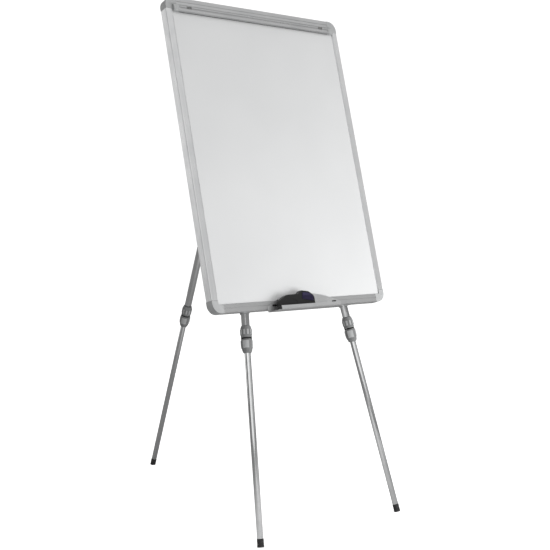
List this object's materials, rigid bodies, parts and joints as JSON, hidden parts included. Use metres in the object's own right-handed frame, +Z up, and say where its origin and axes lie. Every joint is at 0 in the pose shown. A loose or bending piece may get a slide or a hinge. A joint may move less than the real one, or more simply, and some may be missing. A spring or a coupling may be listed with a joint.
{
  "type": "flipchart easel",
  "caption": "Rimmed whiteboard with a sprung paper clamp and a pen tray, standing on a folding tripod of telescopic legs with twist locks.",
  "frame": {"origin": "on the floor, under the middle of the open easel's box", "axes": "+Z up, +X to the right of someone facing the board, the board's face towards -Y and leaning back towards +Y"},
  "size_m": [0.7, 1.0892, 1.6474],
  "materials": {
    "frame_aluminium": "satin anodised",
    "leg_tube": "bright anodised",
    "tray_sheet": "satin silver",
    "whiteboard": "gloss white lacquer",
    "core": "raw fibreboard",
    "back": "plain mill finish",
    "steel": "zinc plated",
    "grey_plastic": "moulded, fine texture",
    "black_plastic": "moulded, fine texture",
    "navy_plastic": "ribbed, moulded",
    "nylon": "natural nylon",
    "rubber": "matte black",
    "felt": "pressed felt"
  },
  "bodies": {
    "board": {"writing_surface": "whiteboard", "core_panel": "core", "back_sheet": "back", "frame_rail_top": "frame_aluminium", "frame_rail_bottom": "frame_aluminium", "frame_rail_left": "frame_aluminium", "frame_rail_right": "frame_aluminium", "corner_top_left": "grey_plastic", "corner_top_right": "grey_plastic", "corner_bottom_left": "grey_plastic", "corner_bottom_right": "grey_plastic", "clamp_block_left": "grey_plastic", "clamp_block_right": "grey_plastic", "clamp_rod": "steel", "clamp_spring_left": "steel", "clamp_spring_right": "steel", "pen_tray": "tray_sheet", "tray_end_cap": "black_plastic", "tray_screw_left": "black_plastic", "tray_screw_right": "black_plastic", "leg_hub": "grey_plastic", "hub_screw_left": "steel", "hub_screw_right": "steel", "pivot_bolt_left": "steel", "pivot_bolt_right": "steel", "rear_pivot_pin": "steel", "leg_clip_left": "grey_plastic", "leg_clip_right": "grey_plastic", "clip_screw_left": "steel", "clip_screw_right": "steel"},
    "clamp": {"clamp_bar": "frame_aluminium", "clamp_pad": "rubber"},
    "eraser": {"eraser_body": "black_plastic", "eraser_grip": "navy_plastic", "eraser_felt": "felt"},
    "front_left_leg": {"front_left_knuckle": "grey_plastic", "front_left_upper_tube": "leg_tube", "front_left_collar": "grey_plastic", "front_left_lock_ring": "black_plastic"},
    "front_left_grip": {"front_left_twist_grip": "grey_plastic"},
    "front_left_lower": {"front_left_lower_tube": "leg_tube", "front_left_guide_bush": "nylon", "front_left_foot": "rubber"},
    "front_right_leg": {"front_right_knuckle": "grey_plastic", "front_right_upper_tube": "leg_tube", "front_right_collar": "grey_plastic", "front_right_lock_ring": "black_plastic"},
    "front_right_grip": {"front_right_twist_grip": "grey_plastic"},
    "front_right_lower": {"front_right_lower_tube": "leg_tube", "front_right_guide_bush": "nylon", "front_right_foot": "rubber"},
    "rear_leg": {"rear_knuckle": "grey_plastic", "rear_upper_tube": "leg_tube", "rear_collar": "grey_plastic", "rear_lock_ring": "black_plastic"},
    "rear_grip": {"rear_twist_grip": "grey_plastic"},
    "rear_lower": {"rear_lower_tube": "leg_tube", "rear_guide_bush": "nylon", "rear_foot": "rubber"}
  },
  "joints": [
    {"name": "clamp_open", "type": "hinge", "parent": "board", "child": "clamp", "pos_m": [0, -0.17584, 1.61621], "axis": [-1, 0, 0], "range_deg": [0, 55], "stiffness_Nm_per_rad": 0.3, "springref_deg": -34.38},
    {"name": "eraser_lift", "type": "slide", "parent": "board", "child": "eraser", "axis": [0, 0.247, 0.969], "range_m": [0, 0.06]},
    {"name": "front_left_spread", "type": "hinge", "parent": "board", "child": "front_left_leg", "pos_m": [-0.098, -0.1326, 1.57733], "axis": [0, -0.969, 0.247], "range_deg": [0, 6.38]},
    {"name": "front_left_twist", "type": "hinge", "parent": "front_left_leg", "child": "front_left_grip", "pos_m": [-0.21156, -0.38347, 0.59313], "axis": [-0.1111, -0.2455, -0.963], "range_deg": [0, 90]},
    {"name": "front_left_extend", "type": "slide", "parent": "front_left_leg", "child": "front_left_lower", "axis": [-0.1111, -0.2455, -0.963], "range_m": [-0.52, 0.2]},
    {"name": "front_right_spread", "type": "hinge", "parent": "board", "child": "front_right_leg", "pos_m": [0.098, -0.1326, 1.57733], "axis": [0, 0.969, -0.247], "range_deg": [0, 6.38]},
    {"name": "front_right_twist", "type": "hinge", "parent": "front_right_leg", "child": "front_right_grip", "pos_m": [0.21156, -0.38347, 0.59313], "axis": [0.1111, -0.2455, -0.963], "range_deg": [0, 90]},
    {"name": "front_right_extend", "type": "slide", "parent": "front_right_leg", "child": "front_right_lower", "axis": [0.1111, -0.2455, -0.963], "range_m": [-0.52, 0.2]},
    {"name": "rear_fold", "type": "hinge", "parent": "board", "child": "rear_leg", "pos_m": [0, -0.12485, 1.57535], "axis": [-1, 0, 0], "range_deg": [0, 37.05]},
    {"name": "rear_twist", "type": "hinge", "parent": "rear_leg", "child": "rear_grip", "pos_m": [0, 0.28084, 0.60798], "axis": [0, 0.3867, -0.9222], "range_deg": [0, 90]},
    {"name": "rear_extend", "type": "slide", "parent": "rear_leg", "child": "rear_lower", "axis": [0, 0.3867, -0.9222], "range_m": [-0.52, 0.2]}
  ]
}
